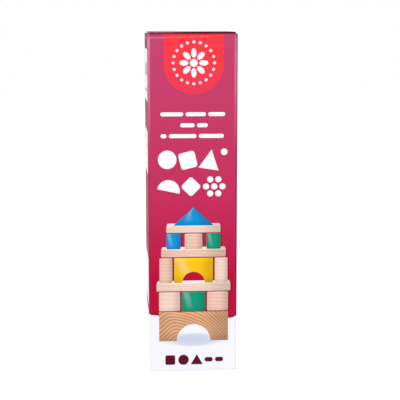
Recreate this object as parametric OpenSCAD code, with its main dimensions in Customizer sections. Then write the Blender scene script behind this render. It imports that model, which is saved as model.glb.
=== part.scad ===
// Balance game in its tall folding carton: the shut carton, with the wooden pieces packed inside it
// as four columns that stand on the rocker. The front wall faces -Y, +Z is up, and the origin is
// the middle of the underside. Lengths are in millimetres and angles in degrees.

/* [Carton] */
// Height of the shut carton
carton_h = 290; // [270:1:340]
// Thickness of the fluted board
board_t = 1.2; // [0.8:0.1:1.6]
// Inside radius of the folds
fold_r = 0.4; // [0.2:0.1:1]
// Room between the widest contents and the walls
side_gap = 1.3; // [1:0.1:4]
// How far the front wall's top edge lies below the top of the lid
front_step = 1.4; // [0.4:0.1:2]
// How much shorter a bottom side flap is than its wall, at each end
bottom_flap_trim = 2; // [1:0.5:6]
// Width of the glued seam strip
glue_flap_w = 14; // [8:1:20]
// Slope at the ends of the glued seam strip
glue_flap_slope = 20; // [0:1:40]

/* [Closure] */
// Depth that the tongue reaches below the top of the lid
tongue_len = 13; // [10:1:18]
// Radius of the tongue's lower corners
tongue_corner_r = 7; // [2:0.5:8]
// Distance from the lid's side edge to the tongue's side edge
tongue_inset = 2; // [0:0.5:8]
// Distance from the carton's side to the lid's side edge
lid_side_gap = 1.5; // [1:0.1:3]
// Depth of each dust flap
dust_flap_len = 30; // [18:1:34]
// Slope of each dust flap's rear edge, which keeps it under the rising lid
dust_flap_slope = 32; // [30:1:42]
// Radius of each dust flap's front corner
dust_flap_corner_r = 7; // [2:0.5:10]

/* [Wooden set] */
// Diameter of the half ball that the stack rocks on
rocker_d = 70; // [60:1:80]
// Radius of the rounded wooden edges
edge_r = 1.5; // [0.5:0.1:2.5]
// Diameter of a large natural disc
large_disc_d = 34; // [28:0.5:38]
// Thickness of a large natural disc
large_disc_t = 14; // [10:0.5:16]
// Diameter of a medium natural disc
medium_disc_d = 30; // [24:0.5:34]
// Thickness of a medium natural disc
medium_disc_t = 12; // [9:0.5:14]
// Diameter of a small natural disc
small_disc_d = 26; // [20:0.5:30]
// Thickness of a small natural disc
small_disc_t = 12; // [9:0.5:14]
// Diameter of a green drum
drum_d = 22; // [16:0.5:28]
// Height of a green drum
drum_t = 14; // [10:0.5:18]
// Diameter of a yellow disc
yellow_disc_d = 32; // [24:0.5:34]
// Thickness of a yellow disc
yellow_disc_t = 12; // [9:0.5:14]
// Diameter of a blue disc
blue_disc_d = 26; // [20:0.5:30]
// Thickness of a blue disc
blue_disc_t = 12; // [9:0.5:14]
// Diameter of a ball
ball_d = 24; // [16:0.5:28]

/* [Clearances] */
// Gap between the lid and the dust flaps under it
layer_gap = 0.2; // [0.1:0.05:0.5]
// Gap between a wall's top edge and the flap that folds from it
fold_gap = 0.3; // [0.2:0.05:0.6]
// Gap that the swinging tongue keeps from the front wall
swing_gap = 0.4; // [0.3:0.1:1]
// Gap between a flap's cut edge and the board beside it
cut_gap = 0.5; // [0.3:0.1:1]
// Gap under a round wooden piece that rests on a flat one
rest_gap = 0.3; // [0.2:0.05:0.5]
// Gap between neighbouring columns of pieces
column_gap = 0.5; // [0.3:0.1:2]

/* [Hidden] */
$fn = 96;
print_red = [0.78, 0.2, 0.37];
board_white = [0.95, 0.95, 0.96];
pine = [0.85, 0.66, 0.42];
beech = [0.9, 0.76, 0.62];
green = [0.12, 0.55, 0.42];
yellow = [0.94, 0.76, 0.13];
blue = [0.12, 0.45, 0.74];

// Each kind of stacking piece: its name, diameter, height, colour and whether it is a ball
KINDS = [
    ["large_disc", large_disc_d, large_disc_t, beech, false],
    ["medium_disc", medium_disc_d, medium_disc_t, beech, false],
    ["small_disc", small_disc_d, small_disc_t, beech, false],
    ["green_drum", drum_d, drum_t, green, false],
    ["yellow_disc", yellow_disc_d, yellow_disc_t, yellow, false],
    ["blue_disc", blue_disc_d, blue_disc_t, blue, false],
    ["yellow_ball", ball_d, ball_d, yellow, true],
    ["blue_ball", ball_d, ball_d, blue, true],
];
// Where each column stands, as signs along X and Y
COLUMN_SIDES = [[-1, -1], [1, -1], [-1, 1], [1, 1]];
// The pieces of each column, from the rocker up
COLUMNS = [
    ["large_disc", "large_disc", "medium_disc", "large_disc", "yellow_disc", "large_disc",
        "medium_disc", "green_drum", "small_disc", "blue_ball"],
    ["large_disc", "medium_disc", "large_disc", "medium_disc", "small_disc", "blue_disc",
        "medium_disc", "green_drum", "small_disc", "small_disc", "yellow_ball"],
    ["large_disc", "large_disc", "medium_disc", "large_disc", "green_drum", "large_disc",
        "yellow_disc", "medium_disc", "small_disc", "yellow_ball"],
    ["large_disc", "medium_disc", "large_disc", "medium_disc", "blue_disc", "medium_disc",
        "small_disc", "green_drum", "small_disc", "small_disc", "blue_ball"],
];

// Every stacking piece as its kind's row, its column and its step in that column
PIECES = [
    for (c = [0 : len(COLUMNS) - 1])
        for (step = [0 : len(COLUMNS[c]) - 1])
            [KINDS[search([COLUMNS[c][step]], KINDS)[0]], c, step]
];

function kind_total(kind) = len([for (p = PIECES) if (p[0][0] == kind) 1]);
function kind_number(n) = len([for (m = [0 : n]) if (PIECES[m][0][0] == PIECES[n][0][0]) 1]);
function padded(number, total) = total > 9 && number < 10 ? str("0", number) : str(number);
function piece_name(n) =
    str(PIECES[n][0][0], "_", padded(kind_number(n), kind_total(PIECES[n][0][0])));
function step_height(p) = p[0][2] + (p[0][4] ? rest_gap : 0);
function sum(list, upto, at = 0) = at >= upto ? 0 : list[at] + sum(list, upto, at + 1);
function column_heights(c) = [for (p = PIECES) if (p[1] == c) step_height(p)];

PIECE_NAMES = [for (n = [0 : len(PIECES) - 1]) piece_name(n)];

// Plan of the square carton, from the contents outwards
widest_piece_d = max([for (k = KINDS) k[1]]);
column_pitch = widest_piece_d + column_gap;
contents_half = max(rocker_d / 2, column_pitch / 2 + widest_piece_d / 2);
half_in = contents_half + side_gap;
half_out = half_in + board_t;
fold_out_r = board_t + fold_r;
flat_half = half_out - fold_out_r;

// Heights of the closure's layers, from the top down
lid_under_z = carton_h - board_t;
flap_top_z = lid_under_z - layer_gap;
flap_under_z = flap_top_z - board_t;
side_wall_top_z = flap_under_z - fold_gap;
back_wall_top_z = lid_under_z - fold_gap;
front_wall_top_z = carton_h - front_step;

// Fold lines of the lid and the dust flaps, in the middle of the board
fold_line = half_out - board_t / 2;
lid_half_w = half_out - lid_side_gap;
tongue_drop = tongue_len - board_t / 2;
lid_reach = sqrt(pow(fold_line + half_in - swing_gap, 2) - pow(tongue_drop, 2));
lid_front_y = fold_line - lid_reach;
dust_flap_front_y = lid_front_y + board_t + cut_gap;
dust_flap_rear_y = flat_half - cut_gap;

// Levels of the bottom flaps, counted in boards from the ground
outer_level = 0;
inner_level = 1;
side_level = 2;
floor_z = (side_level + 1) * board_t;
rocker_top_z = floor_z + rest_gap + rocker_d / 2;

// Quarter disc, centred on the origin, in the quadrant with these signs
module quarter_disc(r, x_sign, y_sign) {
    intersection() {
        circle(r = r);
        translate([min(x_sign, 0) * r, min(y_sign, 0) * r]) square(r);
    }
}

// Quarter ring of folded board, centred on the origin, in the quadrant with these signs
module fold_section(x_sign, y_sign) {
    difference() {
        quarter_disc(fold_out_r, x_sign, y_sign);
        circle(r = fold_r);
    }
}

// Extrudes a section drawn in the YZ plane along X, centred
module along_x(width) {
    rotate([90, 0, 90]) linear_extrude(height = width, center = true) children();
}

// Front or rear wall seen from above: a flat board with its two upright folds
module wall_section() {
    translate([-flat_half, -half_out]) square([2 * flat_half, board_t]);
    for (side = [-1, 1])
        translate([side * flat_half, -flat_half]) fold_section(side, -1);
}

module folded_wall(turn, bottom_z, top_z) {
    rotate([0, 0, turn])
        translate([0, 0, bottom_z])
            linear_extrude(height = top_z - bottom_z) wall_section();
}

module front_panel() {
    color(print_red) folded_wall(0, outer_level * board_t + fold_out_r, front_wall_top_z);
}

module back_panel() {
    color(print_red) folded_wall(180, inner_level * board_t + fold_out_r, back_wall_top_z);
}

module side_wall(side) {
    bottom_z = side_level * board_t + fold_out_r;
    translate([side * fold_line - board_t / 2, -flat_half, bottom_z])
        cube([board_t, 2 * flat_half, side_wall_top_z - bottom_z]);
}

module left_panel() {
    color(board_white) side_wall(-1);
}

module right_panel() {
    color(board_white) side_wall(1);
}

// Seam strip on the inside of the left wall, next to the rear fold
module glue_flap() {
    strip_bottom = side_level * board_t + fold_out_r + cut_gap;
    strip_top = side_wall_top_z - cut_gap;
    end_rise = glue_flap_w * tan(glue_flap_slope);
    color(board_white)
        translate([board_t / 2 - half_in, flat_half, 0])
            along_x(board_t)
                polygon([
                    [0, strip_bottom],
                    [0, strip_top],
                    [-glue_flap_w, strip_top - end_rise],
                    [-glue_flap_w, strip_bottom + end_rise],
                ]);
}

// Top panel with a rounded bead on its rear fold line and a rounded fold at its front
module lid_panel() {
    plate_front_y = lid_front_y + fold_out_r;
    color(print_red) along_x(2 * lid_half_w) {
        translate([plate_front_y, lid_under_z])
            square([fold_line - plate_front_y, board_t]);
        translate([fold_line, carton_h - board_t / 2]) circle(d = board_t);
        translate([plate_front_y, carton_h - fold_out_r]) fold_section(-1, 1);
    }
}

// Strip that hangs from the lid's front fold, with round lower corners
module tuck_tongue() {
    half_w = lid_half_w - tongue_inset;
    top_z = carton_h - fold_out_r;
    bottom_z = carton_h - tongue_len;
    color(board_white)
        translate([0, lid_front_y + board_t, 0])
            rotate([90, 0, 0])
                linear_extrude(height = board_t) {
                    translate([-half_w, bottom_z + tongue_corner_r])
                        square([2 * half_w, top_z - bottom_z - tongue_corner_r]);
                    translate([tongue_corner_r - half_w, bottom_z])
                        square([2 * (half_w - tongue_corner_r), top_z - bottom_z]);
                    for (side = [-1, 1])
                        translate([side * (half_w - tongue_corner_r), bottom_z + tongue_corner_r])
                            quarter_disc(tongue_corner_r, side, -1);
                }
}

// Flap that folds inwards from a side wall's top edge, with a bead on its fold line
module dust_flap(side) {
    root_len = dust_flap_rear_y - dust_flap_front_y;
    rear_fall = dust_flap_len * tan(dust_flap_slope);
    corner_x = -side * (dust_flap_len - dust_flap_corner_r);
    translate([side * fold_line, dust_flap_front_y, flap_under_z]) {
        linear_extrude(height = board_t) {
            polygon([
                [0, 0],
                [corner_x, 0],
                [corner_x, dust_flap_corner_r],
                [-side * dust_flap_len, dust_flap_corner_r],
                [-side * dust_flap_len, root_len - rear_fall],
                [0, root_len],
            ]);
            translate([corner_x, dust_flap_corner_r])
                quarter_disc(dust_flap_corner_r, -side, -1);
        }
        translate([0, 0, board_t / 2])
            rotate([-90, 0, 0])
                cylinder(d = board_t, h = root_len);
    }
}

module left_dust_flap() {
    color(board_white) dust_flap(-1);
}

module right_dust_flap() {
    color(board_white) dust_flap(1);
}

// Bottom flap that folds inwards from the wall on the side given by turn
module bottom_flap(turn, level, reach, trim) {
    under_z = level * board_t;
    color(board_white)
        rotate([0, 0, turn])
            along_x(2 * (flat_half - trim)) {
                translate([-flat_half, under_z]) square([reach, board_t]);
                translate([-flat_half, under_z + fold_out_r]) fold_section(-1, -1);
            }
}

module bottom_outer_flap() {
    bottom_flap(0, outer_level, flat_half + half_out - cut_gap, cut_gap);
}

module bottom_inner_flap() {
    bottom_flap(180, inner_level, 2 * flat_half - cut_gap, cut_gap);
}

module bottom_left_flap() {
    bottom_flap(270, side_level, flat_half - cut_gap / 2, bottom_flap_trim);
}

module bottom_right_flap() {
    bottom_flap(90, side_level, flat_half - cut_gap / 2, bottom_flap_trim);
}

// Half ball, flat side up, with a rounded rim
module rocker_base() {
    rim_r = rocker_d / 2;
    color(pine)
        translate([0, 0, rocker_top_z])
            rotate_extrude()
                intersection() {
                    circle(r = rim_r);
                    union() {
                        translate([0, -rim_r]) square([rim_r, rim_r - edge_r]);
                        translate([0, -edge_r]) square([rim_r - edge_r, edge_r]);
                        translate([rim_r - edge_r, -edge_r]) quarter_disc(edge_r, 1, 1);
                    }
                }
}

// Turned disc with rounded edges, standing on the origin
module turned_disc(d, height) {
    rotate_extrude() {
        square([d / 2 - edge_r, height]);
        translate([0, edge_r]) square([d / 2, height - 2 * edge_r]);
        for (z = [edge_r, height - edge_r])
            translate([d / 2 - edge_r, z]) circle(r = edge_r);
    }
}

module stacking_piece(p) {
    kind = p[0];
    place = COLUMN_SIDES[p[1]] * column_pitch / 2;
    seat_z = rocker_top_z + sum(column_heights(p[1]), p[2]);
    color(kind[3])
        translate([place[0], place[1], seat_z]) {
            if (kind[4]) translate([0, 0, rest_gap + kind[1] / 2]) sphere(d = kind[1]);
            else turned_disc(kind[1], kind[2]);
        }
}

front_panel();
back_panel();
left_panel();
right_panel();
glue_flap();
lid_panel();
tuck_tongue();
left_dust_flap();
right_dust_flap();
bottom_outer_flap();
bottom_inner_flap();
bottom_left_flap();
bottom_right_flap();
rocker_base();
for (n = [0 : len(PIECES) - 1])
    stacking_piece(PIECES[n]);
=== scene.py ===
"""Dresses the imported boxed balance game: printed board, print films, bare board, wood, paint and stage.

Lengths in the tables below are millimetres and are turned into metres where a mesh is made. The front
wall faces -Y, +Z is up, and s is the distance along a wall from its upright middle line.
"""

from functools import partialmethod

import bpy
import numpy as np
from bpy.props import FloatProperty, FloatVectorProperty, PointerProperty
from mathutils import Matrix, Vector


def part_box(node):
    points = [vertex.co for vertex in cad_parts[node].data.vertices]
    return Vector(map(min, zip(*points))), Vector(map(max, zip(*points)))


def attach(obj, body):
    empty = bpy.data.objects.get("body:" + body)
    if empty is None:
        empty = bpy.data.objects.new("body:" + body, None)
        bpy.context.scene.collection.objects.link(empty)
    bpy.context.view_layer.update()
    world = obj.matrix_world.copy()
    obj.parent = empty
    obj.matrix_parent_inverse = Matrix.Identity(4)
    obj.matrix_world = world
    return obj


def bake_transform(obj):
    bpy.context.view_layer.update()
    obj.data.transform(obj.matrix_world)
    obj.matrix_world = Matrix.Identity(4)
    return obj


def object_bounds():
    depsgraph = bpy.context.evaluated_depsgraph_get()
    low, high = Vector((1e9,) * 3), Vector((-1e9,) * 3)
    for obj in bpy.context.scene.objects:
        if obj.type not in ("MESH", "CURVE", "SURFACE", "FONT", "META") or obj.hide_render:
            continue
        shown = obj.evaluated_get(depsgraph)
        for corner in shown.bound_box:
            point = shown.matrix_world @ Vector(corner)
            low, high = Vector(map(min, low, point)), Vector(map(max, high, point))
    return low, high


bl_info = {
    "name": "Boxed Balance Game",
    "version": (1, 0, 0),
    "blender": (4, 5, 0),
    "location": "View3D > Sidebar > Balance Game",
    "description": "Finishes the carton, its print and the wooden set",
    "category": "Object",
}

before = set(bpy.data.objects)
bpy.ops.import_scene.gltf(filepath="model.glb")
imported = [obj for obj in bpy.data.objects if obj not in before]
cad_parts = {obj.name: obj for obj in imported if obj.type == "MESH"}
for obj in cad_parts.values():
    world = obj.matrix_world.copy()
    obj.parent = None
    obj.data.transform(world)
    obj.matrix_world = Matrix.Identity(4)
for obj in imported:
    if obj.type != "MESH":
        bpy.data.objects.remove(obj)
CAD_LOW, CAD_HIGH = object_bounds()

MM = 0.001
# Half the carton's width, how far a wall is flat from its middle, and the radius of its folds
HALF_OUT = CAD_HIGH.x
FLAT_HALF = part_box("left_panel")[1].y
FOLD_R = HALF_OUT - FLAT_HALF
BOARD_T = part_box("left_panel")[1].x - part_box("left_panel")[0].x
# Distance from the middle to the crease of a lid or flap
FOLD_LINE = HALF_OUT - BOARD_T / 2
FLUTE_PITCH = 2.2 * MM
LID_TOP = CAD_HIGH.z
LID_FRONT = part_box("lid_panel")[0].y
FRONT_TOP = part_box("front_panel")[1].z
DUST_FLAP_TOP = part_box("left_dust_flap")[1].z
FRONT, RIGHT, BACK, LEFT = range(4)
WALLS = ("front", "right", "back", "left")
WALL_BOTTOM = [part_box(f"{wall}_panel")[0].z for wall in WALLS]

# A film starts this far off the board and grows by a step with each layer
FILM_BASE = 0.005 * MM
FILM_STEP = 0.03 * MM
# Share of a round outline that is cut off at its tips, so that no row of points shrinks to one
TIP = 0.002
# Specular level of print
PRINT_GLOSS = 0.03
# Depths below a face between which a cut edge turns from core to print
PRINT_SKIN = (0.2 * MM, 0.1 * MM)
# Printed margin on a flap beside its fold
PRINTED_ROOT = 5 * MM
# Heights between which the walls' folds turn from painted shade to paler print, part wear and part painted
# highlight
FOLD_SHADED_BELOW, FOLD_PALE_ABOVE = 170 * MM, 270 * MM
# Heights between which the walls' ground turns from its low to its middle colour
LOW_GROUND, MIDDLE_GROUND = 80 * MM, 150 * MM

# Courses of the printed gate from its foot up: the height, and for each block its ink, its place beside
# the middle, its width and, for an arch, the radius of its hole
GATE_MIDDLE, GATE_FOOT, GATE_GAP = 0.5, 28, 0.7
GATE = (
    (25.5, [("bold", 0, 59, 14.5)]),
    (16.6, [("natural", -20.5, 18), ("green", 0, 20), ("rosy", 20.5, 18)]),
    (6.6, [("natural", 0, 63)]),
    (21.6, [("rosy", -23.5, 11), ("yellow", 0, 33, 9.5), ("natural", 23.5, 11)]),
    (6.2, [("rosy", 0, 55)]),
    (13.4, [("blue", -17, 12), ("rosy", 0, 15), ("green", 17, 12)]),
    (5.4, [("natural", 0, 46)]),
)

WHITE = (1.0, 1.0, 1.0, 1.0)
BOTTOM_FLAPS = ["bottom_outer_flap", "bottom_inner_flap", "bottom_left_flap", "bottom_right_flap"]
NATURAL_KINDS = ("large_disc", "medium_disc", "small_disc")
PAINTED_KINDS = {
    "green": ("green_drum",),
    "yellow": ("yellow_disc", "yellow_ball"),
    "blue": ("blue_disc", "blue_ball"),
}


def srgb(red, green, blue):
    """Linear colour of an 8-bit display colour."""
    c = np.array([red, green, blue]) / 255
    return tuple(float(x) for x in np.where(c <= 0.04045, c / 12.92, ((c + 0.055) / 1.055) ** 2.4))


def colour(name, description, value):
    """A colour property whose default is an 8-bit display colour."""
    return FloatVectorProperty(
        name=name, description=description, subtype="COLOR", size=3, min=0, max=1, default=srgb(*value)
    )


def length(name, description, value):
    """A length property whose default is given in millimetres."""
    return FloatProperty(name=name, description=description, subtype="DISTANCE", default=value * MM)


def angle(name, description, value):
    """An angle property whose default is given in degrees."""
    default = float(np.radians(value))
    return FloatProperty(name=name, description=description, subtype="ANGLE", default=default)


class CartonPrint(bpy.types.PropertyGroup):
    """Colours and sizes of the carton's print."""

    ground_top: colour("Ground top", "Ground colour at the top of the walls", (199, 70, 114))
    ground_middle: colour("Ground middle", "Ground colour half way up the walls", (200, 47, 93))
    ground_low: colour("Ground low", "Ground colour above the white band", (190, 13, 60))
    # The side walls' ground is darker than the front's as painted shade, the sides being lit less.
    shaded_side_top: colour("Side top", "Ground colour at the top of the side walls", (150, 48, 92))
    shaded_side_low: colour("Side low", "Ground colour low on the side walls", (136, 18, 54))
    # The lid's dark print also stands in for the shadow line above the front wall's top edge.
    lid: colour("Lid", "Print on the lid", (98, 8, 26))
    # Paler print of the folds, part wear and part painted highlight.
    worn_and_highlight: colour("Worn", "Paler print where a fold has rubbed", (236, 158, 184))
    white: colour("White", "White print and coated board", (250, 251, 255))
    band: colour("Band", "White band round the foot", (247, 247, 254))
    tab: colour("Tab", "Hanging tab at the top of the front", (252, 62, 74))
    tab_low: colour("Tab low", "Tab colour at its round foot", (238, 62, 88))
    # The tab's paler print along its top is a painted highlight.
    tab_highlight: colour("Tab highlight", "Paler print where the tab has rubbed", (255, 134, 142))
    dark: colour("Dark", "Dark shapes on the white band", (96, 18, 44))
    edge_line: colour("Edge line", "Thin line along the ground's lower edge", (128, 18, 42))
    natural: colour("Natural", "Natural blocks in the picture", (246, 218, 203))
    natural_top: colour("Natural top", "Tops of the planks in the picture", (254, 241, 236))
    rosy: colour("Rosy", "Redder natural blocks in the picture", (243, 205, 186))
    bold: colour("Bold", "Boldly grained block in the picture", (234, 182, 140))
    green: colour("Green", "Green blocks in the picture", (20, 156, 120))
    yellow: colour("Yellow", "Yellow blocks in the picture", (252, 199, 26))
    blue: colour("Blue", "Blue blocks in the picture", (18, 150, 216))
    shade: colour("Shade", "Printed shadow below the picture", (206, 212, 232))
    drop: colour("Drop", "Printed shadow beside each block", (138, 6, 40))
    dusk: colour("Dusk", "Bar and icons on the top white panels", (192, 132, 154))
    mist: colour("Mist", "Bars on the lower white panels", (226, 208, 220))
    side_shapes: colour("Side shapes", "Faint shapes between the side walls' panels", (158, 40, 78))
    band_height: length("Band height", "Lowest point of the white band's upper edge", 47.5)
    line_width: length("Line width", "Width of the line along the band's upper edge", 1.1)


class WoodenSet(bpy.types.PropertyGroup):
    """Colours of the wooden pieces."""

    natural_pale: colour("Natural pale", "Pale wood of the discs", (247, 221, 198))
    natural_dark: colour("Natural dark", "Dark rings of the discs", (225, 183, 150))
    rocker_pale: colour("Rocker pale", "Pale wood of the rocker", (238, 196, 150))
    rocker_dark: colour("Rocker dark", "Dark rings of the rocker", (172, 106, 68))
    green: colour("Green paint", "Paint of the drums", (18, 148, 112))
    yellow: colour("Yellow paint", "Paint of the yellow discs and balls", (250, 190, 20))
    blue: colour("Blue paint", "Paint of the blue discs and balls", (17, 140, 206))


class Stage(bpy.types.PropertyGroup):
    """Camera, light and floor."""

    camera_place: FloatVectorProperty(
        name="Camera place",
        description="Where the camera stands",
        subtype="XYZ",
        unit="LENGTH",
        size=3,
        default=(-0.0663, -0.977, 0.2943),
    )
    camera_yaw: angle("Camera yaw", "Turn of the camera to the right", 4.4)
    camera_pitch: angle("Camera pitch", "Tilt of the camera downwards", 8.71)
    lens: FloatProperty(name="Lens", description="Focal length in millimetres", default=101.92)
    floor: colour("Floor", "Pale floor", (250, 250, 251))
    sky: FloatProperty(name="Sky", description="Strength of the even studio light", default=0.47)


class Wire:
    """Output of a shader node that takes plain arithmetic, each step of which adds a Math node."""

    def __init__(self, socket):
        self.socket = socket
        self.tree = socket.id_data

    def math(self, operation, *others):
        """Math node on this wire and others, which are wires or numbers."""
        inputs = dict(enumerate((self, *others)))
        return Wire(add(self.tree, "Math", inputs, operation=operation).outputs[0])

    def __rsub__(self, other):
        return self.math("MULTIPLY_ADD", -1.0, other)

    __add__ = partialmethod(math, "ADD")
    __sub__ = partialmethod(math, "SUBTRACT")
    __mul__ = partialmethod(math, "MULTIPLY")
    __truediv__ = partialmethod(math, "DIVIDE")
    __neg__ = partialmethod(math, "MULTIPLY", -1.0)
    __abs__ = partialmethod(math, "ABSOLUTE")
    at_least = partialmethod(math, "MAXIMUM")
    at_most = partialmethod(math, "MINIMUM")
    root = partialmethod(math, "SQRT")


def feed(socket, value):
    """Links a wire to an input, or sets the input to a plain value, completing a colour with its alpha."""
    if isinstance(value, Wire):
        value.tree.links.new(value.socket, socket)
    elif socket.type == "RGBA":
        socket.default_value = (*value[:3], 1.0)
    else:
        socket.default_value = value


def add(tree, kind, inputs=None, **settings):
    """Adds a shader node with these settings and inputs."""
    node = tree.nodes.new("ShaderNode" + kind)
    for name, value in settings.items():
        setattr(node, name, value)
    for key, value in (inputs or {}).items():
        feed(node.inputs[key], value)
    return node


def sine(wire, cycle):
    """Sine of a wire that repeats once in each cycle."""
    return (wire * (2 * np.pi / cycle)).math("SINE")


def ramp(wire, low, high, to_low=0.0, to_high=1.0, smooth=True):
    """Wire carried from the range low to high onto to_low to to_high, and held beyond it."""
    kind = "SMOOTHSTEP" if smooth else "LINEAR"
    inputs = {"Value": wire, "From Min": low, "From Max": high, "To Min": to_low, "To Max": to_high}
    return Wire(add(wire.tree, "MapRange", inputs, interpolation_type=kind).outputs["Result"])


def mix(factor, first, second):
    """Colour between first and second."""
    inputs = {0: factor, 6: first, 7: second}
    return Wire(add(factor.tree, "Mix", inputs, data_type="RGBA").outputs[2])


def dimmed(tone, level):
    """Colour multiplied by a level."""
    inputs = {0: tone, "Scale": level}
    return Wire(add(level.tree, "VectorMath", inputs, operation="SCALE").outputs[0])


def noise(vector, scale, detail=2.0, roughness=0.5):
    """Noise from 0 to 1 at this many waves a metre."""
    inputs = {"Vector": vector, "Scale": scale, "Detail": detail, "Roughness": roughness}
    return Wire(add(vector.tree, "TexNoise", inputs).outputs["Fac"])


def drawn_out(vector, share):
    """Vector whose Z is multiplied by a share, which draws a pattern out along Z."""
    inputs = {0: vector, 1: (1.0, 1.0, share)}
    return Wire(add(vector.tree, "VectorMath", inputs, operation="MULTIPLY").outputs[0])


def place(tree):
    """Object coordinates."""
    return Wire(add(tree, "TexCoord").outputs["Object"])


def axes(vector):
    """The three parts of a vector."""
    return [Wire(part) for part in add(vector.tree, "SeparateXYZ", {0: vector}).outputs]


def across(tree):
    """The u and v of a print film, from its own UV map."""
    return axes(Wire(add(tree, "UVMap", uv_map="Across").outputs[0]))[:2]


def group(name, **inputs):
    """New shader node group. An input is a colour, a number or, with no default, a vector.

    Returns the group's tree and a wire for each input.
    """
    tree = bpy.data.node_groups.new(name, "ShaderNodeTree")
    for label, default in inputs.items():
        kind = {tuple: "Color", float: "Float"}.get(type(default), "Vector")
        socket = tree.interface.new_socket(label, in_out="INPUT", socket_type="NodeSocket" + kind)
        if default is not None:
            socket.default_value = default
    given = tree.nodes.new("NodeGroupInput").outputs
    return tree, {label: Wire(given[label]) for label in inputs}


def put_out(tree, **results):
    """Gives a node group its outputs. One called Color is a colour, and the others are numbers."""
    for label in results:
        kind = "NodeSocketColor" if label == "Color" else "NodeSocketFloat"
        tree.interface.new_socket(label, in_out="OUTPUT", socket_type=kind)
    output = tree.nodes.new("NodeGroupOutput")
    for label, wire in results.items():
        feed(output.inputs[label], wire)


def use(tree, name, **inputs):
    """Places a node group in a tree. Returns a wire for each of its outputs."""
    node = add(tree, "Group", inputs, node_tree=bpy.data.node_groups[name])
    return {socket.name: Wire(socket) for socket in node.outputs}


def corner_distance(first, second, radius):
    """Distance outside a rounded corner, and how far round its bend a point lies.

    With a and b the positive parts of first and second, the distance is sqrt(a^2 + b^2) plus the negative
    part of the larger one, less the radius. The bend is 2ab / radius^2, which is 1 in the middle of it.
    """
    a, b = first.at_least(0.0), second.at_least(0.0)
    distance = (a * a + b * b).root() + first.at_least(second).at_most(0.0) - radius
    return distance, a * b * 2.0 / (radius * radius)


def near_face(depth):
    """Mask of what lies within the print's skin below a face."""
    return ramp(depth, *PRINT_SKIN)


def make_outer_face_group():
    """Outer Face: where a wall shows its print, where its cut core, and where its upright folds are.

    The left folds are painted paler than the right ones, a little further round, and with less painted
    shade, as light falls from the left; the pale is part wear and part painted highlight.
    """
    tree, _ = group("Outer Face")
    x, y, _ = axes(place(tree))
    past_x, past_y = abs(x) - FLAT_HALF, abs(y) - FLAT_HALF
    depth = -corner_distance(past_x, past_y, FOLD_R)[0]
    into_fold = past_x.at_most(past_y)
    on_left = ramp(x, MM, -MM)
    into_pale = into_fold - on_left * (0.7 * MM)
    nearing = ramp(into_pale, -2.4 * MM, -0.1 * MM)
    leaving = ramp(into_pale, 0.1 * MM, 0.9 * MM, 1.0, 0.7)
    put_out(
        tree,
        Print=near_face(depth),
        # Fold marks where the folds are painted pale, part wear and part highlight; Crease marks the
        # painted shade along them.
        Fold=nearing * leaving * ramp(on_left, 0.0, 1.0, 0.8, 1.0),
        Crease=ramp(into_fold, -0.7 * MM, 0.6 * MM) * ramp(on_left, 0.0, 1.0, 1.0, 0.6),
        Depth=depth,
        Along=x + y,
    )


def make_flute_group():
    """Flute Core: cut edge of fluted board, a wavy sheet between two liners.

    At depth d below the outer face and distance s along the edge, the wavy sheet lies at half the
    thickness plus a sine of s, and the rest between the liners is in shadow.
    """
    tree, given = group("Flute Core", Depth=0.0, Along=0.0)
    centred = given["Depth"] - BOARD_T / 2
    sheet = sine(given["Along"], FLUTE_PITCH) * (0.3 * MM)
    off_sheet = ramp(abs(centred - sheet), 0.08 * MM, 0.16 * MM)
    hollow = off_sheet * ramp(abs(centred), 0.46 * MM, 0.36 * MM)
    put_out(tree, Color=mix(hollow, srgb(238, 235, 228), srgb(120, 108, 96)))


def make_board_skin_group():
    """Board Skin: paper tone, sheen and relief of fluted board, with its faint washboard ribs."""
    tree, given = group("Board Skin", Color=WHITE, Sheen=0.4, Mottle=0.04)
    vector = place(tree)
    x, y, _ = axes(vector)
    fibre = noise(vector, 2600.0, 3.0, 0.6)
    cloud = noise(vector, 34.0, 3.0, 0.55)
    scuff = ramp(noise(drawn_out(vector, 0.35), 210.0, 4.0, 0.7), 0.62, 0.74)
    spread = fibre * 0.4 + cloud * 0.6 - 0.5
    put_out(
        tree,
        Color=dimmed(given["Color"], spread * given["Mottle"] + 1.0),
        Roughness=given["Sheen"] + scuff * 0.12 + (cloud - 0.5) * 0.14,
        Height=sine(x + y, FLUTE_PITCH) * 0.5 + fibre * 0.7 + cloud * 6.0,
    )


def make_fold_wear_group():
    """Fold wear and painted light: pales a print along a fold, broken up by noise, as wear and as a painted
    highlight, and darkens it by its crease input, a painted shade.
    """
    tree, given = group("Fold Wear And Painted Light", Color=WHITE, Worn=WHITE, Fold=0.0, Amount=0.5, Crease=0.0)
    patch = ramp(noise(drawn_out(place(tree), 0.25), 160.0, 5.0, 0.7), 0.3, 0.7, 0.35, 1.0)
    share = ramp(given["Fold"], 0.25, 1.0) * patch * given["Amount"]
    pale = mix(share, given["Color"], given["Worn"])
    put_out(tree, Color=dimmed(pale, 1.0 - given["Crease"]))


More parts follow.
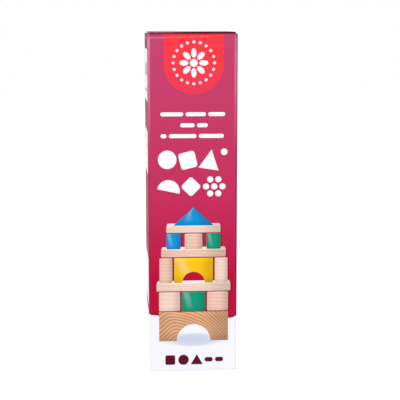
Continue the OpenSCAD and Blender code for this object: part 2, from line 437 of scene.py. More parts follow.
def make_wood_group():
    """Wood Grain: year rings round the Z axis of the given vector, fibres along it and small dark pores.

    The ring phase is the distance from the axis, bent by noise, over the ring width. Each ring darkens
    slowly and ends in a sharp dark line.
    """
    dark = (0.5, 0.5, 0.5, 1.0)
    tree, given = group("Wood Grain", Vector=None, Pale=WHITE, Dark=dark, Ring=3 * MM, Contrast=0.7)
    vector = given["Vector"]
    x, y, _ = axes(vector)
    bent = noise(drawn_out(vector, 0.25), 22.0) * (14 * MM)
    phase = (((x * x + y * y).root() + bent) / given["Ring"]).math("FRACT")
    late = phase.math("POWER", 2.2) * ramp(phase, 1.0, 0.9)
    fibre = noise(drawn_out(vector, 0.04), 1500.0, 3.0, 0.6)
    pore = ramp(noise(drawn_out(vector, 0.12), 2400.0, 1.0), 0.68, 0.74)
    broad = noise(vector, 40.0)
    amount = late * given["Contrast"] + (fibre - 0.5) * 0.3 + (broad - 0.5) * 0.4 + pore * 0.25
    put_out(
        tree,
        Color=mix(ramp(amount, 0.0, 1.0, smooth=False), given["Pale"], given["Dark"]),
        Roughness=ramp(amount, 0.0, 1.0, 0.56, 0.46, smooth=False),
        Height=fibre * 0.6 - pore * 0.5 + late * 0.5,
    )


def make_block_tone_group():
    """Block Tone: printed light and shade on a block, bright at its upper left and dark along its edges.

    Gloss is the strength of a soft slanting streak of reflected light.
    """
    tree, given = group("Block Tone", Color=WHITE, Gloss=0.0)
    u, v = across(tree)
    sides = ramp(u, 0.55, 1.0, 1.0, 0.72) * ramp(u, 0.0, 0.3, 0.9, 1.0)
    ends = ramp(v, 0.0, 0.35, 0.78, 1.0) * ramp(v, 0.8, 0.97, 1.0, 1.12)
    off_streak = abs(u + v * 0.3 - 0.42)
    streak = ramp(off_streak, 0.2, 0.02) * ramp(v, 0.1, 0.7) * given["Gloss"]
    put_out(tree, Color=mix(streak, dimmed(given["Color"], sides * ends), WHITE))


def material(name, roughness=0.5, specular=PRINT_GLOSS, coat=0.0, coat_roughness=0.1):
    """New material with these plain values on its shader. Returns it and its node tree."""
    made = bpy.data.materials.new(name)
    made.use_nodes = True
    inputs = made.node_tree.nodes["Principled BSDF"].inputs
    inputs["Roughness"].default_value = roughness
    inputs["Specular IOR Level"].default_value = specular
    inputs["Coat Weight"].default_value = coat
    inputs["Coat Roughness"].default_value = coat_roughness
    return made, made.node_tree


def dress(made, tone, roughness, height, relief):
    """Feeds a material its colour, its roughness and a bump of this relief in metres."""
    tree = made.node_tree
    bump = add(tree, "Bump", {"Height": height, "Distance": relief, "Strength": 0.5})
    inputs = tree.nodes["Principled BSDF"].inputs
    feed(inputs["Base Color"], tone)
    feed(inputs["Roughness"], roughness)
    feed(inputs["Normal"], Wire(bump.outputs[0]))
    return made


def board(made, tone, sheen=0.38, mottle=0.04, relief=0.012 * MM):
    """Gives a material the skin of fluted board in this tone."""
    skin = use(made.node_tree, "Board Skin", Color=tone, Sheen=sheen, Mottle=mottle)
    return dress(made, skin["Color"], skin["Roughness"], skin["Height"], relief)


def top_highlight(x, z):
    """Mask of the soft pale line below the front wall's top edge, a painted highlight.

    It slants down to the left, and it is faint on the right.
    """
    off = abs(z - x * 0.025 - (FRONT_TOP - 2.7 * MM))
    return ramp(off, 1.5 * MM, 0.2 * MM) * ramp(x, -5 * MM, 32 * MM, 0.66, 0.36)


def top_shadow(x, z):
    """Mask of the painted shadow along the front wall's top edge, deeper on the left."""
    return ramp(z - x * 0.008, FRONT_TOP - 1.4 * MM, FRONT_TOP - 0.1 * MM, 0.0, 0.45)


def wall_material(name, look, low, middle, top):
    """Printed and laminated outside, white inside, with cut fluted edges.

    The printed ground deepens from the top down, through three colours. Its folds are darkened with painted
    shade low down and pale near the top, part wear and part painted highlight. A painted highlight and a
    painted shadow run below the top edge.
    """
    made, tree = material(name)
    x, _, z = axes(place(tree))
    face = use(tree, "Outer Face")
    ground = mix(ramp(z, LOW_GROUND, MIDDLE_GROUND, smooth=False), low, middle)
    ground = mix(ramp(z, MIDDLE_GROUND, LID_TOP, smooth=False), ground, top)
    # Painted shade along the folds, stronger low down.
    fold_shade = face["Crease"] * ramp(z, FOLD_SHADED_BELOW, FOLD_PALE_ABOVE, 0.42, 0.26)
    below_top = ramp(z, FRONT_TOP - 1.5 * MM, FRONT_TOP - 5 * MM, 0.6, 1.0)
    printed = use(
        tree,
        "Fold Wear And Painted Light",
        Color=ground,
        Worn=look.worn_and_highlight,
        Fold=(face["Fold"] * below_top).at_least(top_highlight(x, z)),
        Amount=ramp(z, FOLD_SHADED_BELOW, FOLD_PALE_ABOVE, 0.05, 0.9),
        Crease=fold_shade.at_least(top_shadow(x, z)),
    )
    core = use(tree, "Flute Core", Depth=face["Depth"], Along=face["Along"])
    return board(made, mix(face["Print"], core["Color"], printed["Color"]), 0.4, 0.05)


def lid_material(look):
    """Printed lid: dark on top and round its front fold, the dark also standing in for the shadow line
    above the front wall's top edge; paler along the fold towards the left; with cut fluted edges.
    """
    made, tree = material("printed_lid", specular=0.0)
    x, y, z = axes(place(tree))
    distance, bend = corner_distance(z - (LID_TOP - FOLD_R), LID_FRONT + FOLD_R - y, FOLD_R)
    above, behind = z - (LID_TOP - BOARD_T / 2), y - FOLD_LINE
    bead = ramp(behind, -0.1 * MM, 0.0)
    on_bead = bead * ramp(above - behind, -0.05 * MM, 0.1 * MM)
    depth = -distance
    shown = on_bead + near_face(depth) * (1.0 - bead)
    # The front fold is painted paler towards the left.
    paled = ramp(x, -30 * MM, -2 * MM, 0.62, 0.1)
    fold = bend.at_least(bead)
    printed = use(tree, "Fold Wear And Painted Light", Color=look.lid, Worn=look.worn_and_highlight, Fold=fold, Amount=paled)
    core = use(tree, "Flute Core", Depth=depth, Along=x + y)
    return board(made, mix(shown, core["Color"], printed["Color"]), 0.42, 0.06, 0.003 * MM)


def bare_material(name, print_mask=None, tone=None):
    """Uncoated white board, printed where print_mask, made from the three object coordinates, is 1."""
    made, tree = material(name, specular=0.2)
    shown = srgb(240, 237, 230)
    if print_mask:
        shown = mix(print_mask(*axes(place(tree))), shown, tone)
    return board(made, shown, 0.66, 0.12, 0.02 * MM)


def dust_flap_root(x, y, z):
    """Mask of a dust flap's outer face beside its fold."""
    root = FOLD_LINE - PRINTED_ROOT
    return near_face(DUST_FLAP_TOP - z) * ramp(abs(x), root, root + 0.2 * MM)


def tongue_root(x, y, z):
    """Mask of the tongue's outer face beside the lid."""
    root = LID_TOP - PRINTED_ROOT
    return near_face(y - LID_FRONT) * ramp(z, root, root + 0.2 * MM)


def ink_material(name, tone):
    """Flat print ink over the board."""
    return board(material(name)[0], tone)


def band_material(look):
    """White print of the band, with a little painted shade along the folds and at its foot."""
    made, tree = material("band_ink")
    _, _, z = axes(place(tree))
    # Painted shade along the folds and at the foot.
    band_shade = use(tree, "Outer Face")["Crease"] * 0.05 + ramp(z, 1.4 * MM, 3.4 * MM, 0.12, 0.0)
    tone = use(tree, "Fold Wear And Painted Light", Color=look.band, Amount=0.0, Crease=band_shade)["Color"]
    return board(made, tone, mottle=0.03)


def tab_material(look):
    """Flat print ink of the tab, with a painted highlight and a painted shadow along the top, as on the
    wall below it.
    """
    made, tree = material("tab_ink")
    x, _, z = axes(place(tree))
    tone = mix(ramp(z, 240 * MM, 264 * MM), look.tab_low, look.tab)
    painted_top_light = {"Fold": top_highlight(x, z), "Amount": 0.8, "Crease": top_shadow(x, z)}
    return board(made, use(tree, "Fold Wear And Painted Light", Color=tone, Worn=look.tab_highlight, **painted_top_light)["Color"])


def crease_material(look):
    """Side print where it bends over a dust flap's fold, worn pale along the middle of the bend."""
    made, tree = material("crease_ink")
    bent = sine(across(tree)[1], 2)
    # The ground here is the side walls' darker colour, a painted shade.
    printed = use(tree, "Fold Wear And Painted Light", Color=look.shaded_side_top, Worn=look.worn_and_highlight, Fold=bent, Amount=0.3)
    return board(made, printed["Color"], 0.42, 0.05, 0.003 * MM)


def block_material(name, tone):
    """Printed picture of a painted block."""
    made, tree = material(name)
    return board(made, use(tree, "Block Tone", Color=tone, Gloss=0.16)["Color"], mottle=0.08)


def grain(tree, pale, dark, ring, contrast, shift, turn):
    """Wood Grain in these tones, with rings of this width and the trunk's axis set by shift and turn."""
    inputs = {"Vector": place(tree), "Location": shift, "Rotation": turn}
    laid = Wire(add(tree, "Mapping", inputs).outputs[0])
    return use(tree, "Wood Grain", Vector=laid, Pale=pale, Dark=dark, Ring=ring * MM, Contrast=contrast)


def grained_block_material(name, pale, dark, ring, contrast, turn=(0.0, 1.5, 0.2)):
    """Printed picture of a wooden block, whose grain runs almost level unless it is turned."""
    made, tree = material(name)
    shift = (0.011, 0.03, 0.004)
    tone = grain(tree, pale, dark, ring, contrast, shift, turn)["Color"]
    return board(made, use(tree, "Block Tone", Color=tone)["Color"], mottle=0.05)


def shade_material(look):
    """Printed soft shadow that fades into the white band."""
    made, tree = material("shadow_ink")
    u, v = across(tree)
    return board(made, mix(ramp(sine(u, 2) * sine(v, 2), 0.05, 1.0), look.band, look.shade))


def wood_material(name, *cut):
    """Sanded wood with its grain."""
    made, tree = material(name, specular=0.4)
    wood = grain(tree, *cut)
    return dress(made, wood["Color"], wood["Roughness"], wood["Height"], 0.06 * MM)


def paint_material(name, tone):
    """Satin paint through which the wood's fibres still show as relief."""
    made, tree = material(name, specular=0.5, coat=0.45, coat_roughness=0.14)
    deep = tuple(0.72 * c for c in tone)
    wood = grain(tree, tone, deep, 2.5, 0.25, (0.0, 0.0, 0.0), (1.35, 0.3, 0.0))
    return dress(made, wood["Color"], wood["Roughness"] * 0.75, wood["Height"], 0.03 * MM)


def grid(rows, columns):
    """Two parameters from 0 to 1 on a grid: u along the columns and v along the rows."""
    return np.meshgrid(np.linspace(0, 1, columns), np.linspace(0, 1, rows))


def placed(x, z, centre, tilt=0.0):
    """Points turned by tilt degrees about the origin and moved to centre."""
    a = np.radians(tilt)
    return x * np.cos(a) - z * np.sin(a) + centre[0], x * np.sin(a) + z * np.cos(a) + centre[1]


def rounded(centre, width, height, radius, tilt=0.0):
    """Rounded rectangle: at height t its half width is w/2 - r + sqrt(r^2 - d^2).

    d is how far t enters a corner, and t is a sine of v, so that rows crowd at the rounded ends.
    """
    u, v = grid(25, 5)
    t = height / 2 * (1 - TIP) * np.sin(np.pi * (v - 0.5))
    d = np.maximum(np.abs(t) - (height / 2 - radius), 0)
    half = width / 2 - radius + np.sqrt(radius**2 - d**2)
    return (*placed((2 * u - 1) * half, t, centre, tilt), u, v)


def oval(centre, width, height, tilt=0.0):
    """Ellipse: at height h/2 sin(a) its half width is w/2 cos(a)."""
    u, v = grid(33, 7)
    a = np.pi * (v - 0.5) * (1 - 12 * TIP)
    return (*placed((2 * u - 1) * width / 2 * np.cos(a), height / 2 * np.sin(a), centre, tilt), u, v)


def disc(centre, width):
    """Round disc."""
    return oval(centre, width, width)


def wedge(centre, width, height, tilt=0.0, below=0.4, blunt=0.02):
    """Triangle on its base with a blunt tip: the half width falls evenly with the height.

    below is the share of its height that lies under the centre.
    """
    u, v = grid(9, 5)
    half = width / 2 * np.maximum(1 - v, blunt)
    return (*placed((2 * u - 1) * half, (v - below) * height, centre, tilt), u, v)


def dome(centre, radius, tilt=0.0, below=0.42):
    """Half disc on its flat side: at height r sin(a) its half width is r cos(a).

    below is the share of its height that lies under the centre.
    """
    u, v = grid(25, 7)
    a = np.pi / 2 * v * (1 - 6 * TIP)
    return (*placed((2 * u - 1) * radius * np.cos(a), radius * (np.sin(a) - below), centre, tilt), u, v)


def bridge(centre, width, height, hole):
    """Arch block: rays from the middle of its foot run from a half circle to the block's outline.

    A ray at angle a meets the outline at the smaller of w/2 / |cos a| and h / sin a.
    """
    corner = np.arctan2(height, width / 2)
    right = np.linspace(0, corner, 13)[:-1]
    angles = np.concatenate([np.pi - right, np.linspace(np.pi - corner, corner, 17), right[::-1]])
    a, v = np.meshgrid(angles, np.linspace(0, 1, 4))
    beside, above = width / 2 / np.maximum(np.abs(np.cos(a)), 1e-6), height / np.maximum(np.sin(a), 1e-6)
    reach = hole + v * (np.minimum(beside, above) - hole)
    x, z = reach * np.cos(a), reach * np.sin(a)
    return (*placed(x, z, centre), x / width + 0.5, z / height)


def on_ring(centre, radius, count):
    """Points evenly spaced on a ring, each with its angle in degrees."""
    for turn in np.arange(count) * 360 / max(count, 1):
        a = np.radians(turn)
        yield (centre[0] + radius * np.cos(a), centre[1] + radius * np.sin(a)), turn


def under_curve(low, high, rows=4):
    """Strip of a wall between two heights that depend on s, from one fold's middle to the next."""
    edge = (FLAT_HALF + FOLD_R * np.pi / 4) / MM
    u, v = grid(rows, 61)
    s = edge * np.sin(np.pi * (u - 0.5))
    return s, low(s) + v * (high(s) - low(s)), u, v


def wall_point(side, s, z, lift):
    """Point at distance s along a wall, height z and lift off its face, in metres.

    The wall is flat as far as FLAT_HALF. Beyond that, s runs round the fold, an arc of radius FOLD_R.
    side counts quarter turns from the front, anticlockwise from above.
    """
    turn = np.clip((np.abs(s) - FLAT_HALF) / FOLD_R, 0, np.pi / 2)
    x = np.sign(s) * (np.minimum(np.abs(s), FLAT_HALF) + (FOLD_R + lift) * np.sin(turn))
    y = -FLAT_HALF - (FOLD_R + lift) * np.cos(turn)
    c, d = round(np.cos(side * np.pi / 2)), round(np.sin(side * np.pi / 2))
    return listed(x * c - y * d, x * d + y * c, z)


def lid_point(s, t, lift):
    """Point of the lid's top at s to the right, t to the rear and lift above it."""
    return listed(s, t, 0 * s + LID_TOP + lift)


def listed(*parts):
    """Grids of coordinates as one list of points."""
    return np.stack(parts, -1).reshape(-1, len(parts))


def grid_faces(rows, columns):
    """Quads between the neighbouring points of a grid."""
    index = np.arange(rows * columns).reshape(rows, columns)
    return listed(index[:-1, :-1], index[:-1, 1:], index[1:, 1:], index[1:, :-1])


def slab_faces(rows, columns):
    """Quads of a thin closed slab: the outer grid, the inner grid turned over, and a rim round both."""
    count = rows * columns
    index = np.arange(count).reshape(rows, columns)
    outer = grid_faces(rows, columns)
    loop = np.concatenate([index[0, :-1], index[:-1, -1], index[-1, :0:-1], index[:0:-1, 0]])
    after = np.roll(loop, -1)
    rim = np.stack([after, loop, loop + count, after + count], -1)
    return np.concatenate([outer, outer[:, ::-1] + count, rim])


def piece(name, points, faces, places, finish):
    """New mesh object with its own UV map and a material."""
    mesh = bpy.data.meshes.new(name)
    mesh.from_pydata(points.tolist(), [], faces.tolist())
    corners = np.empty(len(mesh.loops), dtype=np.int32)
    mesh.loops.foreach_get("vertex_index", corners)
    layer = mesh.uv_layers.new(name="Across")
    layer.data.foreach_set("uv", places[corners].astype(np.float32).ravel())
    mesh.validate()
    mesh.materials.append(finish)
    made = bpy.data.objects.new(name, mesh)
    bpy.context.scene.collection.objects.link(made)
    return made


def film(name, side, patches, layer, ink, body="carton"):
    """Print film: thin slabs on a wall or, with no side, on the lid, one for each patch of (s, z, u, v)."""
    points, faces, places, start = [], [], [], 0
    for s, z, u, v in patches:
        for lift in (FILM_BASE + (layer + 1) * FILM_STEP, FILM_BASE):
            flat = (s * MM, z * MM, lift)
            points.append(lid_point(*flat) if side is None else wall_point(side, *flat))
        faces.append(slab_faces(*s.shape) + start)
        places += [listed(u, v)] * 2
        start += 2 * s.size
    made = piece(name, np.concatenate(points), np.concatenate(faces), np.concatenate(places), ink)
    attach(made, body)


def finish_nodes(names, made):
    """Puts a material on CAD nodes."""
    for name in names:
        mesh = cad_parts[name].data
        mesh.materials.clear()
        mesh.materials.append(made)


def nodes_of(kinds):
    """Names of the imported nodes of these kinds, in order."""
    return sorted(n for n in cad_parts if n.startswith(kinds))


class BALANCE_OT_shared_groups(bpy.types.Operator):
    """Builds the shader node groups that the finishes share"""

    bl_idname = "balance.shared_groups"
    bl_label = "Shared Groups"

    def execute(self, context):
        make_outer_face_group()
        make_flute_group()
        make_board_skin_group()
        make_fold_wear_group()
        make_wood_group()
        make_block_tone_group()
        return {"FINISHED"}


class BALANCE_OT_board(bpy.types.Operator):
    """Finishes the carton's printed walls, its lid and its bare flaps"""

    bl_idname = "balance.board"
    bl_label = "Carton Board"

    def execute(self, context):
        look = context.scene.carton_print
        ends = wall_material("printed_board", look, look.ground_low, look.ground_middle, look.ground_top)
        # The side walls and the dust flaps' printed margins take the darker side colours, a painted shade.
        sides = wall_material("printed_sides", look, look.shaded_side_low, look.shaded_side_low, look.shaded_side_top)
        dust_flap = bare_material("dust_flap_board", dust_flap_root, look.shaded_side_top)
        finish_nodes(["front_panel", "back_panel"], ends)
        finish_nodes(["left_panel", "right_panel"], sides)
        finish_nodes(["lid_panel"], lid_material(look))
        finish_nodes(["glue_flap"], bare_material("white_board"))
        finish_nodes(BOTTOM_FLAPS, ink_material("coated_board", look.band))
        finish_nodes(["left_dust_flap", "right_dust_flap"], dust_flap)
        # The tongue's margin takes the lid's dark print, which also stands in for shade.
        finish_nodes(["tuck_tongue"], bare_material("tongue_board", tongue_root, look.lid))
        return {"FINISHED"}


def crease_outline(lift, reach=2.5 * MM):
    """Outline over a fold, out and up from its axis: the wall, a quarter circle and the flap.

    The circle's radius is half the board's thickness plus lift.
    """
    radius = BOARD_T / 2 + lift
    turn = np.linspace(0, np.pi / 2, 9)
    wall = np.linspace(-reach, 0, 4)[:-1]
    flap = np.linspace(0, -reach, 4)[1:]
    out = np.concatenate([radius + 0 * wall, radius * np.cos(turn), flap])
    up = np.concatenate([wall, radius * np.sin(turn), radius + 0 * flap])
    return out, up


class BALANCE_OT_flap_creases(bpy.types.Operator):
    """Carries the side walls' print over the folds of the dust flaps"""

    bl_idname = "balance.flap_creases"
    bl_label = "Flap Creases"

    def execute(self, context):
        ink = crease_material(context.scene.carton_print)
        fold_height = DUST_FLAP_TOP - BOARD_T / 2
        inset, columns = 0.4 * MM, 25
        for name, way in (("left_dust_flap", -1), ("right_dust_flap", 1)):
            low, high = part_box(name)
            ends = sorted((way * (low.y + inset), way * (high.y - inset)))
            points = []
            for lift in (FILM_BASE + FILM_STEP, FILM_BASE):
                out, up = crease_outline(lift)
                along, out = np.meshgrid(np.linspace(*ends, columns), out)
                up = up[:, None] + 0 * out
                points.append(listed(way * (FOLD_LINE + out), way * along, fold_height + up))
            places = np.tile(listed(*grid(*out.shape)), (2, 1))
            made = piece(f"{name}_crease", np.concatenate(points), slab_faces(*out.shape), places, ink)
            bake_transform(made)
        return {"FINISHED"}


def band_foot(side):
    """Height of the band's lower edge: the foot of its wall or, on a fold, of the lower wall."""
    own, after, before = WALL_BOTTOM[side], WALL_BOTTOM[(side + 1) % 4], WALL_BOTTOM[side - 1]

    def foot(s):
        beyond = np.where(s > 0, min(own, after), min(own, before))
        return np.where(np.abs(s) > FLAT_HALF / MM, beyond, own) / MM

    return foot


def band_edge(side, lowest):
    """Height of the band's upper edge: a shallow bow that turns up in a round corner at each fold.

    With s counted as on the front, the bow is lowest + bow (s - middle)^2, and each corner adds
    r - sqrt(r^2 - d^2), where d is how far s has entered it. The back mirrors the front, and a side
    wall is level with the end of the bow at the fold it shares.
    """
    bow, middle = 0.001, 26
    left_start, left_r = -35.2, 2.8
    right_start, right_r = 30.9, 10

    def edge(s):
        if side in (LEFT, RIGHT):
            s = 0 * s + (FLAT_HALF / MM + 1) * (1 if side == RIGHT else -1)
        elif side == BACK:
            s = -s
        left, right = np.maximum(left_start - s, 0), np.maximum(s - right_start, 0)
        corners = left_r - np.sqrt(left_r**2 - left**2) + right_r - np.sqrt(right_r**2 - right**2)
        return lowest + bow * (s - middle) ** 2 + corners

    return edge


class BALANCE_OT_lower_band(bpy.types.Operator):
    """Prints the white band round the foot of the walls and the thin line along its edge"""

    bl_idname = "balance.lower_band"
    bl_label = "Lower Band"

    def execute(self, context):
        look = context.scene.carton_print
        white = band_material(look)
        line = ink_material("edge_line_ink", look.edge_line)
        width = look.line_width / MM
        for side, name in enumerate(WALLS):
            edge = band_edge(side, look.band_height / MM)
            film(f"{name}_band", side, [under_curve(band_foot(side), edge)], 0, white)
            strip = under_curve(edge, lambda s: edge(s) + width, rows=2)
            film(f"{name}_edge_line", side, [strip], 0, line)
        return {"FINISHED"}


def tab_patch(middle=0.9, half=25, top=FRONT_TOP / MM - 0.1, foot=238.5):
    """Tab with a round foot: straight sides above a half circle of the tab's own half width."""
    u, v = grid(41, 9)
    a = np.pi / 2 * np.clip(1 - 2 * v, 0, 1) * (1 - 4 * TIP)
    straight = (foot + half) + np.clip(2 * v - 1, 0, 1) * (top - foot - half)
    z = np.where(v < 0.5, foot + half - half * np.sin(a), straight)
    return middle + (2 * u - 1) * half * np.cos(a), z, u, v


def rosette(centre, beads):
    """Petals on a ring round a disc, and a ring of beads round them."""
    petals = [oval(spot, 7.6, 4.4, turn) for spot, turn in on_ring(centre, 8.2, 8)]
    ring = [disc(spot, 2.4) for spot, _ in on_ring(centre, 17.2, beads)]
    return [disc(centre, 6.4), *petals, *ring]


class BALANCE_OT_top_tab(bpy.types.Operator):
    """Prints the hanging tab at the top of the front and the rosette on it"""

    bl_idname = "balance.top_tab"
    bl_label = "Top Tab"

    def execute(self, context):
        look = context.scene.carton_print
        film("front_tab", FRONT, [tab_patch()], 0, tab_material(look))
        white = ink_material("white_ink", look.white)
        film("front_rosette", FRONT, rosette((0.9, 264.6), beads=20), 1, white)
        film("lid_rosette", None, rosette((0, 0), beads=0), 0, white, body="lid")
        return {"FINISHED"}


class BALANCE_OT_front_shapes(bpy.types.Operator):
    """Prints the white bars and solid shapes in the middle of the front and the dark row at its foot"""

    bl_idname = "balance.front_shapes"
    bl_label = "Front Shapes"

    def execute(self, context):
        look = context.scene.carton_print
        white = bpy.data.materials["white_ink"]
        rows = {
            222.2: [(-17.5, 19), (2.5, 17), (20, 14)],
            213: [(-4.5, 12), (8, 9)],
            204: [(-24.5, 5), (-8.5, 23), (15.5, 21)],
        }
        height, corner = 3.4, 1.65
        bars = [rounded((x, z), width, height, corner) for z, row in rows.items() for x, width in row]
        film("front_bars", FRONT, bars, 0, white)
        flower = (18, 161.4)
        shapes = [
            disc((-21.5, 184.2), 15.5),
            rounded((-4.2, 183.7), 14, 14, 2.4, tilt=14),
            wedge((14.2, 182.7), 17, 16.5, tilt=-9),
            disc((26.3, 190.6), 5.6),
            dome((-19.8, 161.4), 9.6, tilt=-12),
            rounded((-1.6, 161.4), 12.4, 12.4, 2.2, tilt=45),
            disc(flower, 5.2),
            *(disc(spot, 5.2) for spot, _ in on_ring(flower, 6.9, 6)),
        ]
        film("front_shapes", FRONT, shapes, 0, white)
        foot_row = [
            rounded((-19.6, 11.2), 8.4, 8.4, 1.3),
            disc((-8.2, 11.2), 9),
            wedge((3.2, 10.6), 10.4, 9),
            rounded((13.4, 11.2), 7, 4, 1.9),
            rounded((22.4, 11.2), 7, 4, 1.9),
        ]
        film("front_foot_row", FRONT, foot_row, 1, ink_material("dark_ink", look.dark))
        return {"FINISHED"}


def picture_inks(look):
    """Inks of the picture's wooden and painted blocks."""
    wooden = {
        "tops": ("block_top_ink", look.natural_top, look.natural, 3.2, 0.4),
        "natural": ("natural_block_ink", look.natural, srgb(228, 186, 164), 3.2, 0.55),
        "rosy": ("rosy_block_ink", look.rosy, srgb(218, 162, 138), 2.8, 0.6),
        "bold": ("bold_block_ink", look.bold, srgb(148, 86, 58), 1.9, 1, (0.9, 0.35, 0)),
    }
    inks = {tone: grained_block_material(*cut) for tone, cut in wooden.items()}
    for tone in ("green", "yellow", "blue"):
        inks[tone] = block_material(f"{tone}_block_ink", getattr(look, tone))
    return inks


def gate_courses():
    """Foot, height and blocks of each course of the gate, with a gap between the courses."""
    foot = GATE_FOOT
    for height, blocks in GATE:
        yield foot, height, blocks
        foot += height + GATE_GAP


def gate_blocks(corner=1.1):
    """Patches of the gate, by ink, with a roof on its top course."""
    patches = {tone: [] for tone in ("bold", "natural", "rosy", "green", "yellow", "blue")}
    for foot, height, blocks in gate_courses():
        for tone, beside, width, *hole in blocks:
            x = GATE_MIDDLE + beside
            if hole:
                patch = bridge((x, foot), width, height, *hole)
            else:
                patch = rounded((x, foot + height / 2), width, height, corner)
            patches[tone].append(patch)
    patches["blue"].append(wedge((GATE_MIDDLE, 134.4), 34, 15.4))
    return patches


def plank_tops(depth=2.6, narrowing=2.4):
    """Patches of the planks' tops, seen from a little above and so narrower at the rear.

    A plank is a course of one block with no hole.
    """
    u, v = grid(3, 9)
    shown = 0.45 + 0.4 * v
    patches = []
    for foot, height, ((_, _, width, *hole), *others) in gate_courses():
        if not hole and not others:
            s = GATE_MIDDLE + (u - 0.5) * (width - narrowing * v)
            patches.append((s, foot + height + depth * v, u, shown))
    return patches


class BALANCE_OT_block_picture(bpy.types.Operator):
    """Prints the picture of a gate of toy blocks on the front"""

    bl_idname = "balance.block_picture"
    bl_label = "Block Picture"

    def execute(self, context):
        look = context.scene.carton_print
        inks = picture_inks(look)
        blocks = gate_blocks()
        right, down = 0.9, 0.5
        cast = [patch for tone in blocks if tone != "bold" for patch in blocks[tone]]
        drops = [(s + right, z - down, u, v) for s, z, u, v in cast]
        film("front_picture_shadow", FRONT, [oval((1, 29), 68, 13)], 1, shade_material(look))
        film("front_picture_drops", FRONT, drops, 1, ink_material("drop_ink", look.drop))
        film("front_picture_tops", FRONT, plank_tops(), 2, inks["tops"])
        for tone, patches in blocks.items():
            film(f"front_picture_{tone}", FRONT, patches, 3, inks[tone])
        return {"FINISHED"}


def side_bar(z, width):
    """Thin bar with round ends."""
    return rounded((0, z), width, 2, 0.98)


def side_icons(way):
    """Square, disc and triangle side by side, towards +s or, with way -1, towards -s."""
    z, step = 259, 15 * way
    return [
        rounded((-step, z), 11, 11, 1.2),
        disc((0, z), 12.1),
        wedge((step, z - 1), 13.2, 12.1),
    ]


def small_gate():
    """Plank, two posts and a roof that stand on the white band."""
    return [
        rounded((0, 25), 34, 4.6, 1),
        rounded((-10.5, 15), 11, 14, 1),
        rounded((10.5, 15), 11, 14, 1),
        wedge((0, 32.8), 24, 12),
    ]


def emblem(row, column):
    """One small block of the pattern, whose shape steps along the rows and columns."""
    centre = ((column - 1) * 17, 110 + row * 20)
    kinds = (rounded(centre, 10, 10, 1.2), disc(centre, 11), wedge(centre, 12, 11), dome(centre, 6.4))
    return kinds[(2 * row + column) % 4]


class BALANCE_OT_side_panels(bpy.types.Operator):
    """Prints white panels and shapes on the sides, a small gate on the right and a panel on the back"""

    bl_idname = "balance.side_panels"
    bl_label = "Side Panels"

    def execute(self, context):
        look = context.scene.carton_print
        white = bpy.data.materials["white_ink"]
        dusk = ink_material("dusk_ink", look.dusk)
        mist = ink_material("mist_ink", look.mist)
        faint = ink_material("side_shape_ink", look.side_shapes)
        panels = [rounded((0, z), 62, height, 3) for z, height in ((254, 44), (189, 36), (78.5, 40))]
        lines = {201: 48, 193: 52, 185: 46, 177: 30, 92: 50, 83: 44, 74: 52, 65: 26}
        bars = [side_bar(z, width) for z, width in lines.items()]
        shapes = [
            disc((0, 157), 20),
            rounded((0, 134.5), 18, 18, 2),
            wedge((0, 111.5), 22, 19),
        ]
        for side, way in ((LEFT, -1), (RIGHT, 1)):
            film(f"{WALLS[side]}_panels", side, panels, 0, white)
            film(f"{WALLS[side]}_bars", side, bars, 1, mist)
            film(f"{WALLS[side]}_icons", side, [*side_icons(way), side_bar(241, 44)], 1, dusk)
            film(f"{WALLS[side]}_faint_shapes", side, shapes, 0, faint)
        tones = ("natural", "green", "yellow", "blue")
        inks = [bpy.data.materials[f"{tone}_block_ink"] for tone in tones]
        for tone, ink, patch in zip(tones, inks, small_gate()):
            film(f"right_{tone}_blocks", RIGHT, [patch], 1, ink)
        film("back_panel_print", BACK, [rounded((0, 170), 60, 150, 4)], 0, white)
        places = [(row, column) for row in range(7) for column in range(3)]
        for turn, (tone, ink) in enumerate(zip(tones, inks)):
            patches = [emblem(*spot) for spot in places if sum(spot) % 4 == turn]
            film(f"back_{tone}_blocks", BACK, patches, 1, ink)
        return {"FINISHED"}


class BALANCE_OT_rocker(bpy.types.Operator):
    """Gives the half-ball rocker its boldly grained softwood"""

    bl_idname = "balance.rocker"
    bl_label = "Rocker"

    def execute(self, context):
        wood = context.scene.wooden_set
        shift, turn = (0.02, 0.0, -0.012), (1.2, 0.25, 0.4)
        made = wood_material("rocker_wood", wood.rocker_pale, wood.rocker_dark, 3.4, 1.0, shift, turn)
        finish_nodes(["rocker_base"], made)
        return {"FINISHED"}


class BALANCE_OT_discs(bpy.types.Operator):
    """Gives the natural discs their pale wood, cut at six turns from the trunk"""

    bl_idname = "balance.discs"
    bl_label = "Natural Discs"

    def execute(self, context):
        wood = context.scene.wooden_set
        tones = wood.natural_pale, wood.natural_dark
        cuts = 6
        names = nodes_of(NATURAL_KINDS)
        for k in range(cuts):
            shift = (0.05 + 0.013 * k, 0.02 * (k % 3), 0.0)
            turn = (1.45 + 0.07 * k, 0.15 * (k % 2), 1.05 * k)
            made = wood_material(f"natural_wood_{k + 1}", *tones, 2.2 + 0.25 * k, 0.5, shift, turn)
            finish_nodes(names[k::cuts], made)
        return {"FINISHED"}


class BALANCE_OT_painted_pieces(bpy.types.Operator):
    """Paints the drums, the coloured discs and the balls"""

    bl_idname = "balance.painted_pieces"
    bl_label = "Painted Pieces"

    def execute(self, context):
        wood = context.scene.wooden_set
        for tone, kinds in PAINTED_KINDS.items():
            finish_nodes(nodes_of(kinds), paint_material(f"{tone}_paint", getattr(wood, tone)))
        return {"FINISHED"}


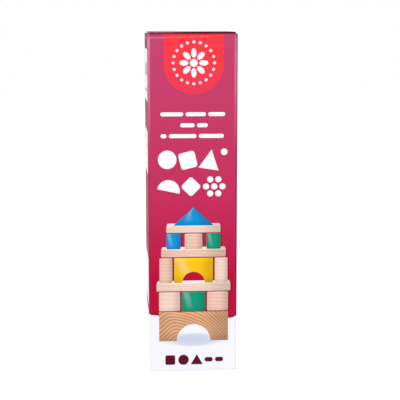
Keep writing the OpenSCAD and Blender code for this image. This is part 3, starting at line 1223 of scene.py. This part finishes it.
def lay_floor(stage, size=8.0, drop=0.3 * MM):
    """Flat grid just under the carton, pale enough to melt into the background, a little dimmer round the
    carton's foot as a painted contact shadow.
    """
    u, v = grid(9, 9)
    points = listed(size * (u - 0.5), size * (v - 0.5), 0 * u - drop)
    made, tree = material("pale_floor", roughness=0.9, specular=0.1)
    shader = tree.nodes["Principled BSDF"]
    vector = place(tree)
    x, y, _ = axes(vector)
    cloud = ramp(noise(vector, 3.0), 0.0, 1.0, 0.0, 0.02)
    feed(shader.inputs["Base Color"], mix(cloud, stage.floor, (0.8, 0.8, 0.8)))
    away, _ = corner_distance(abs(x) - FLAT_HALF, abs(y) - FLAT_HALF, FOLD_R)
    feed(shader.inputs["Emission Color"], WHITE)
    # Weaker glow near the carton's foot: a painted contact shadow.
    feed(shader.inputs["Emission Strength"], ramp(away, 0.0, 14 * MM, 0.5, 0.58))
    piece("floor", points, grid_faces(9, 9), listed(u, v), made)


def light_sky(scene, stage):
    """Even soft light from all round, behind which the backdrop itself shows white."""
    scene.world = bpy.data.worlds.new("studio")
    scene.world.use_nodes = True
    tree = scene.world.node_tree
    inputs = tree.nodes["Background"].inputs
    seen = Wire(add(tree, "LightPath").outputs["Is Camera Ray"])
    feed(inputs["Color"], WHITE)
    feed(inputs["Strength"], ramp(seen, 0.0, 1.0, stage.sky, 1.0))


def hang_lamp(name, spot, power, target=(0.0, 0.0, 0.15), size=0.9):
    """Soft square lamp that faces a point."""
    data = bpy.data.lights.new(name, "AREA")
    data.size = size
    data.energy = power
    made = bpy.data.objects.new(name, data)
    made.location = spot
    made.rotation_euler = (Vector(target) - Vector(spot)).to_track_quat("-Z", "Y").to_euler()
    bpy.context.scene.collection.objects.link(made)


def place_camera(scene, stage):
    """Camera at the photograph's angle."""
    data = bpy.data.cameras.new("photo_camera")
    data.lens = stage.lens
    made = bpy.data.objects.new("photo_camera", data)
    made.location = stage.camera_place
    made.rotation_euler = (np.pi / 2 - stage.camera_pitch, 0, -stage.camera_yaw)
    scene.collection.objects.link(made)
    scene.camera = made


class BALANCE_OT_stage(bpy.types.Operator):
    """Sets the pale floor, the soft studio light and the camera"""

    bl_idname = "balance.stage"
    bl_label = "Stage"

    def execute(self, context):
        scene = context.scene
        stage = scene.stage
        scene.view_settings.view_transform = "Standard"
        lay_floor(stage)
        light_sky(scene, stage)
        hang_lamp("key", (-0.9, -1.5, 1.1), 8.0)
        hang_lamp("fill", (1.2, -1.2, 0.7), 1.5)
        hang_lamp("rear", (0.9, 1.4, 1.0), 5.0)
        hang_lamp("side", (-1.6, 0.1, 0.5), 3.0)
        place_camera(scene, stage)
        return {"FINISHED"}


class BALANCE_PT_panel(bpy.types.Panel):
    """Lists the finishes and their settings"""

    bl_idname = "BALANCE_PT_panel"
    bl_label = "Balance Game"
    bl_space_type = "VIEW_3D"
    bl_region_type = "UI"
    bl_category = "Balance Game"

    def draw(self, context):
        for operator in OPERATORS:
            self.layout.operator(operator.bl_idname)
        for settings in (context.scene.carton_print, context.scene.wooden_set, context.scene.stage):
            box = self.layout.box()
            for name in settings.__annotations__:
                box.prop(settings, name)


OPERATORS = (
    BALANCE_OT_shared_groups,
    BALANCE_OT_board,
    BALANCE_OT_flap_creases,
    BALANCE_OT_lower_band,
    BALANCE_OT_top_tab,
    BALANCE_OT_front_shapes,
    BALANCE_OT_block_picture,
    BALANCE_OT_side_panels,
    BALANCE_OT_rocker,
    BALANCE_OT_discs,
    BALANCE_OT_painted_pieces,
    BALANCE_OT_stage,
)
CLASSES = (CartonPrint, WoodenSet, Stage, *OPERATORS, BALANCE_PT_panel)


def register():
    """Registers the classes and hangs the settings on the scene."""
    for cls in CLASSES:
        bpy.utils.register_class(cls)
    bpy.types.Scene.carton_print = PointerProperty(type=CartonPrint)
    bpy.types.Scene.wooden_set = PointerProperty(type=WoodenSet)
    bpy.types.Scene.stage = PointerProperty(type=Stage)


def unregister():
    """Removes the settings and the classes."""
    del bpy.types.Scene.stage, bpy.types.Scene.wooden_set, bpy.types.Scene.carton_print
    for cls in reversed(CLASSES):
        bpy.utils.unregister_class(cls)


def main():
    register()
    for operator in OPERATORS:
        family, name = operator.bl_idname.split(".")
        getattr(getattr(bpy.ops, family), name)()


if __name__ == "__main__":
    main()
